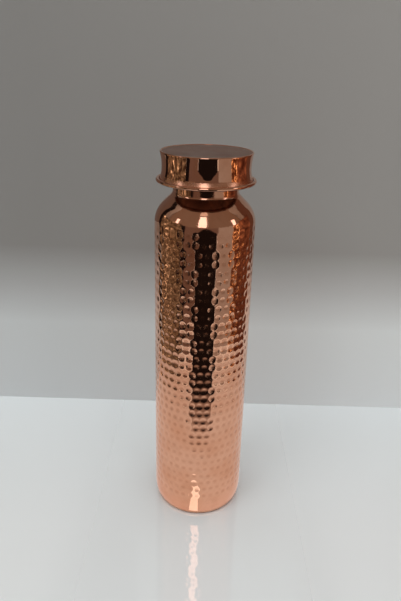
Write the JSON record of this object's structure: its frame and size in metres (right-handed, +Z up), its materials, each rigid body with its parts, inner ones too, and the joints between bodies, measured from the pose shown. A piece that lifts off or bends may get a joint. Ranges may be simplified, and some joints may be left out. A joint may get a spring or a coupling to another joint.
{
  "type": "water bottle",
  "caption": "Hammered copper water bottle: straight round vessel with a rounded shoulder, a threaded neck and a flanged hollow screw cap that seals on a washer.",
  "frame": {"origin": "centre of the base, on the surface that the bottle stands on", "axes": "+Z up along the bottle's axis, towards the cap; the bottle is round, so +X and +Y are free"},
  "size_m": [0.07, 0.07, 0.28],
  "materials": {
    "hammered_copper": "polished, hammered dents",
    "polished_copper": "mirror polished",
    "satin_copper": "satin, spun",
    "silicone": "matte"
  },
  "bodies": {
    "bottle": {"body_shell": "hammered_copper", "neck_collar": "polished_copper"},
    "seal": {"sealing_washer": "silicone"},
    "cap": {"cap_skirt": "polished_copper", "cap_top_disc": "satin_copper", "cap_flange": "polished_copper", "cap_sleeve": "polished_copper", "cap_seat_disc": "satin_copper"}
  },
  "joints": [
    {"name": "cap_rise", "type": "slide", "parent": "bottle", "child": "seal", "axis": [0, 0, 1], "range_m": [0, 0.02]},
    {"name": "cap_turn", "type": "hinge", "parent": "seal", "child": "cap", "pos_m": [0, 0, 0.27], "axis": [0, 0, 1], "range_deg": [0, 1800]}
  ],
  "couplings": [
    {"joint": "cap_rise", "follows": "cap_turn", "m_per_rad": 0.00063661}
  ]
}
